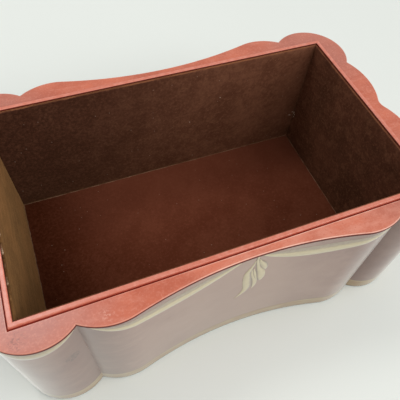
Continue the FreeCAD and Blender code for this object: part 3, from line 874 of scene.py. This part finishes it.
# Height up the felt's cut edge, as a share, and how far the edge draws in there
FELT_EDGE = ((0.0, 0.15 * MM), (0.3, 0.0), (0.7, 0.0), (1.0, 0.1 * MM))
FELT_RAGGED = 0.0008
RAGS_PER_METRE = 400


def make_base_felt(material):
    """Felt glued under the base, its cut edge a little furry."""
    low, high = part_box("base_felt")
    bm = bmesh.new()
    rings = []
    for height, drawn in FELT_EDGE:
        places = []
        for place in Outline(FELT_INSET + drawn).loop():
            rag = 1 + noise.noise(Vector((place.x, place.y, height)) * RAGS_PER_METRE)
            places.append(place * (1 - FELT_RAGGED * rag))
        rings.append(ring(bm, places, low.z + (high.z - low.z) * height))
    loft(bm, rings)
    bm.faces.new(rings[0])
    bm.faces.new(rings[-1])
    piece = new_piece("felt_sheet", bm, material)
    shade_by_angle(piece, degrees=40)
    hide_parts("base_felt")
    outline = Outline(FELT_INSET).loop()


# Ornament

class Face:
    """The outside of a wall or column, measured along it from its middle and upwards."""

    def __init__(self, node):
        self.run = Outline(RIM_OVERHANG).runs[node]
        self.foot = Outline(FOOT_INSET).runs[node]
        self.marks = [0.0]
        for first, second in zip(self.run, self.run[1:]):
            self.marks.append(self.marks[-1] + (second.place - first.place).length)
        self.half = self.marks[-1] / 2

    def point(self, along, height, lift):
        """A place on the face, lifted off it. Nothing rises past the underside of the rim."""
        mark = min(max(along + self.half, 0.0), self.marks[-1])
        i = min(bisect_right(self.marks, mark), len(self.marks) - 1)
        share = (mark - self.marks[i - 1]) / (self.marks[i] - self.marks[i - 1])
        height = min(height, WALL_HIGH.z - HAIR_GAP)
        lean = (WALL_HIGH.z - height) / (WALL_HIGH.z - WALL_LOW.z)
        top = self.run[i - 1].place.lerp(self.run[i].place, share)
        foot = self.foot[i - 1].place.lerp(self.foot[i].place, share)
        normal = self.run[i - 1].normal.lerp(self.run[i].normal, share).normalized()
        place = top.lerp(foot, lean) + normal * lift
        return Vector((place.x, place.y, height))


Station = namedtuple("Station", "along depth half_width")

# How far the ornament's edges sink into the wall, and its cells across
SINK = 0.1 * MM
ACROSS = 18

# Swags: how far below the lip their ends hang, how high they rise and how thick their ends are
SWAG_TOP = LIP_TOP - WALL_HIGH.z + 1.6 * MM
SWAG_CROWN = 0.45 * MM
SWAG_TIP = 2.4 * MM
SWAG_STEPS = 26
FLAT_LIFT = 0.12
FLAT_TONE = 0.58
FOLD_TONE = 0.55

# Leaves of the tassel: how high the lowest rises, and how much higher each further layer does
LEAF_CROWN = 0.35 * MM
LAYER_RISE = 0.15 * MM
LEAF_STEPS = 8
LEAF_THINNEST = 0.15 * MM


def add_ribbon(bm, tone, face, stations, section, crown):
    """A closed raised band on a face, through stations measured down from the lip.

    section gives the lift, as a share of the crown, and the tone for a place across, from -1 to 1.
    """
    widest = max(station.half_width for station in stations)
    rows = []
    for i, station in enumerate(stations):
        before = stations[max(i - 1, 0)]
        after = stations[min(i + 1, len(stations) - 1)]
        run = Vector((after.along - before.along, before.depth - after.depth)).normalized()
        middle = Vector((station.along, LIP_TOP - station.depth))
        side = Vector((-run.y, run.x)) * station.half_width
        rise = crown * math.sqrt(station.half_width / widest)
        row = []
        for j in range(ACROSS + 1):
            across = 2 * j / ACROSS - 1
            lift, shade = section(across)
            place = middle + side * across
            vert = bm.verts.new(face.point(place.x, place.y, rise * lift))
            vert[tone] = shade
            row.append(vert)
        for across in (1, -1):
            place = middle + side * across
            row.append(bm.verts.new(face.point(place.x, place.y, -SINK)))
        rows.append(row)
    loft(bm, rows)
    bm.faces.new(rows[0])
    bm.faces.new(rows[-1])


def swag_section(valley, bright):
    """A rolled fold of full colour below a flat one that is nearly the colour of the box.

    valley is where across the swag the folds meet, from -1 at its lower edge to 1 at its upper edge, and
    bright is the tone of the rolled fold.
    """
    def section(across):
        if across > valley:
            place = (across - valley) / (1 - valley)
            return FLAT_LIFT * (1 + math.sin(math.pi * place)), FLAT_TONE - 0.06 * place
        place = (valley - across) / (1 + valley)
        tone = FOLD_TONE + (bright - FOLD_TONE) * min(1.0, 4 * place, 5 * (1 - place))
        return FLAT_LIFT + (1 - FLAT_LIFT) * math.sin(math.pi * place), tone
    return section


def swag_half(lowest, end, thickness):
    """Stations from the lowest point of a swag, (along, depth), to one end of it."""
    along, depth = lowest
    stations = []
    for i in range(SWAG_STEPS + 1):
        reach = i / SWAG_STEPS
        rise = reach ** 2
        width = thickness + (SWAG_TIP - thickness) * rise
        stations.append(Station(along + (end - along) * reach, depth + (SWAG_TOP - depth) * rise, width / 2))
    return stations


def swag_stations(start, lowest, end, thickness):
    """A hanging curve from start over its lowest point, (along, depth), to end, measured along a face."""
    return swag_half(lowest, start, thickness)[:0:-1] + swag_half(lowest, end, thickness)


def mirrored_stations(stations):
    """Stations mirrored about the middle of a face."""
    return [Station(-s.along, s.depth, s.half_width) for s in reversed(stations)]


def leaf_section(shaded_side):
    """A leaf crowned at its middle and shaded along one edge, -1 for the left and 1 for the right."""
    def section(across):
        toward = max(0.0, across * shaded_side)
        lift = 1 - 0.75 * across ** 2
        tone = 0.9 - 0.85 * toward ** 3 - 0.15 * across ** 2
        return lift, tone
    return section


def leaf_stations(points):
    """Stations on a smooth line through a leaf's few points, given in millimetres."""
    points = [Vector(point) * MM for point in points]
    ends = [points[0] * 2 - points[1]] + points + [points[-1] * 2 - points[-2]]
    stations = []
    for before, start, end, after in zip(ends, ends[1:], ends[2:], ends[3:]):
        for i in range(LEAF_STEPS):
            t = i / LEAF_STEPS
            place = 0.5 * (
                2 * start + (end - before) * t + (2 * before - 5 * start + 4 * end - after) * t ** 2
                + (3 * start - before - 3 * end + after) * t ** 3
            )
            stations.append(Station(place.x, place.y, max(place.z, LEAF_THINNEST)))
    stations.append(Station(points[-1].x, points[-1].y, points[-1].z))
    return stations


Leaf = namedtuple("Leaf", "shaded_side points")

# The tassel's leaves, the lowest layer first. A point is along, down from the lip, and half the width there.
TASSEL = (
    Leaf(-1, ((2.0, 24, 0.3), (4.0, 34, 1.5), (7.6, 46, 2.2), (8.6, 55, 1.9), (7.8, 62, 0.3))),
    Leaf(-1, ((3.6, 24, 0.5), (5.6, 33, 1.3), (7.8, 41, 1.2), (9.4, 48, 0.3))),
    Leaf(1, (
        (3.2, 11, 0.3), (2.8, 16, 0.9), (1.4, 22, 1.6), (-0.5, 29, 2.5), (0.4, 38, 3.4), (1.5, 47, 3.5),
        (2.6, 56, 3.3), (0.6, 63.5, 2.4), (-2.2, 67.5, 1.3), (-5.6, 72, 0.3),
    )),
    Leaf(-1, (
        (4.3, 5.6, 1.1), (4.4, 11, 1.2), (5.4, 17, 1.4), (7.6, 26, 1.9), (10.6, 34, 3.6), (12.2, 42, 3.5),
        (12.8, 47.5, 1.9), (12.6, 49.5, 0.4),
    )),
    Leaf(1, ((6.2, 10.4, 0.3), (7.8, 14.8, 1.6), (10.8, 20.5, 2.6), (13.0, 26.5, 2.2), (14.0, 31, 0.4))),
)


def ornament(name, material, parts):
    """One piece of gold ornament from ribbons given as (face, stations, section, crown)."""
    bm = bmesh.new()
    tone = bm.verts.layers.float.new("tone")
    for face, stations, section, crown in parts:
        add_ribbon(bm, tone, face, stations, section, crown)
    piece = new_piece(name, bm, material)
    shade_by_angle(piece, degrees=50)


def swag_pair(face, start, lowest, end, thickness):
    """A swag and its mirror image about the middle of a face, as parts of an ornament."""
    swag = swag_stations(start, lowest, end, thickness)
    section = swag_section(valley=0.3, bright=0.92)
    return [(face, stations, section, SWAG_CROWN) for stations in (swag, mirrored_stations(swag))]


def make_ornament(material):
    """Swags under the rim all round, and a tassel at the middle of the front and of the back."""
    for node in ("front_wall", "back_wall"):
        face = Face(node)
        end = face.half - 8 * MM
        swags = swag_pair(face, start=9 * MM, lowest=(58 * MM, 19.6 * MM), end=end, thickness=14 * MM)
        ornament(node.replace("wall", "swags"), material, swags)
        leaves = []
        for layer, leaf in enumerate(TASSEL):
            section = leaf_section(leaf.shaded_side)
            leaves.append((face, leaf_stations(leaf.points), section, LEAF_CROWN + LAYER_RISE * layer))
        ornament(node.replace("wall", "tassel"), material, leaves)
    for node in ("left_wall", "right_wall"):
        face = Face(node)
        end = face.half - 3 * MM
        swags = swag_pair(face, start=4 * MM, lowest=(end / 2, 16 * MM), end=end, thickness=12 * MM)
        ornament(node.replace("wall", "swags"), material, swags)
    section = swag_section(valley=0.7, bright=0.7)
    for node in ("front_left", "front_right", "back_left", "back_right"):
        face = Face(node + "_column")
        end = face.half - 3 * MM
        swag = swag_stations(start=-end, lowest=(0.0, 12 * MM), end=end, thickness=11 * MM)
        ornament(node + "_swag", material, [(face, swag, section, SWAG_CROWN)])


# Stage

FLOOR_SIDE = 6.0
FLOOR_CELLS = 4
FLOOR_CLOUD = 0.4
WORLD_COLOUR = (1.0, 1.0, 0.985, 1.0)
WORLD_STRENGTH = 0.5
BACKDROP_STRENGTH = 0.8

# The lamps point at one place. A sun's size is the angle that it covers.
LIT_PLACE = Vector((0.0, 0.0, 0.1))
Lamp = namedtuple("Lamp", "name kind place size power")
LAMPS = (
    Lamp("front", "AREA", Vector((0.45, -1.45, 1.6)), 1.0, 9.0),
    Lamp("top_left", "AREA", Vector((-0.42, 0.55, 1.35)), 0.45, 4.2),
    Lamp("right", "SUN", Vector((1.0, -0.5, 0.55)), math.radians(80), 2.05),
)


def make_stage_floor():
    """A pale floor."""
    shader = Shader("stage_floor", STAGE_DEEP, **MATT)
    shader.cover(shader.noise(FLOOR_CLOUD, 2), STAGE_FULL)
    bm = bmesh.new()
    bmesh.ops.create_grid(bm, x_segments=FLOOR_CELLS, y_segments=FLOOR_CELLS, size=FLOOR_SIDE / 2)
    floor = mesh_object("stage_floor", bm, shader.material)


def make_world():
    """Even light from all round, and a backdrop of another strength that the camera and gloss see."""
    world = bpy.data.worlds.new("studio")
    world.use_nodes = True
    tree = world.node_tree
    rays = tree.nodes.new("ShaderNodeLightPath")
    seen = rays.outputs["Is Camera Ray"]
    for kind in ("Is Glossy Ray", "Is Transmission Ray"):
        either = tree.nodes.new("ShaderNodeMath")
        either.operation = "MAXIMUM"
        tree.links.new(seen, either.inputs[0])
        tree.links.new(rays.outputs[kind], either.inputs[1])
        seen = either.outputs[0]
    strength = tree.nodes.new("ShaderNodeMapRange")
    strength.inputs["To Min"].default_value = WORLD_STRENGTH
    strength.inputs["To Max"].default_value = BACKDROP_STRENGTH
    tree.links.new(seen, strength.inputs["Value"])
    background = tree.nodes["Background"]
    background.inputs["Color"].default_value = WORLD_COLOUR
    tree.links.new(strength.outputs["Result"], background.inputs["Strength"])
    bpy.context.scene.world = world


def make_lamps():
    """Soft lamps in front and above, and a wide soft sun from the right."""
    for lamp in LAMPS:
        light = bpy.data.lights.new(lamp.name, lamp.kind)
        if lamp.kind == "SUN":
            light.angle = lamp.size
        else:
            light.shape = "DISK"
            light.size = lamp.size
        light.energy = lamp.power
        holder = new_object(lamp.name, light)
        holder.location = lamp.place
        holder.rotation_euler = (LIT_PLACE - lamp.place).to_track_quat("-Z", "Y").to_euler()


def make_camera():
    """The photograph's camera, and plain colours on the screen."""
    camera = bpy.data.cameras.new("photo_camera")
    camera.sensor_width = SENSOR_WIDTH
    camera.lens = SENSOR_WIDTH * FOCAL_PIXELS / PHOTO_SIDE
    camera.clip_start = CLIP_START
    holder = new_object("photo_camera", camera)
    level = math.cos(CAMERA_PITCH)
    ahead_x = math.sin(CAMERA_YAW) * level
    ahead_y = math.cos(CAMERA_YAW) * level
    forward = Vector((ahead_x, ahead_y, -math.sin(CAMERA_PITCH)))
    right = forward.cross(Vector((0, 0, 1))).normalized()
    up = right.cross(forward)
    turn = Matrix((right, up, -forward)).transposed() @ Matrix.Rotation(CAMERA_ROLL, 3, "Z")
    holder.matrix_world = Matrix.Translation(CAMERA_PLACE) @ turn.to_4x4()
    bpy.context.scene.camera = holder
    bpy.context.scene.view_settings.view_transform = "Standard"


# The scene

make_stage_floor()
make_world()
make_lamps()
make_camera()

rim_paint = make_rim_paint()
lip_paint = make_lip_paint()
body_lacquer = make_body_lacquer()
gold_paint = make_gold_paint()
felt = make_felt()
screw_steel = make_screw_steel()

for node, thing in nodes.items():
    if node.endswith("_liner"):
        thing.material_slots[0].material = lip_paint
    elif node == "base_screws":
        thing.material_slots[0].material = screw_steel
    elif node == "base_board":
        thing.material_slots[0].material = body_lacquer

make_rim(rim_paint, make_matt_paint("rim_side_paint", RIM_SIDE, RIM_GRIME))
make_shells(body_lacquer, make_matt_paint("groove_paint", GROOVE, RIM_SIDE))
make_linings()
make_base_felt(felt)
make_ornament(gold_paint)
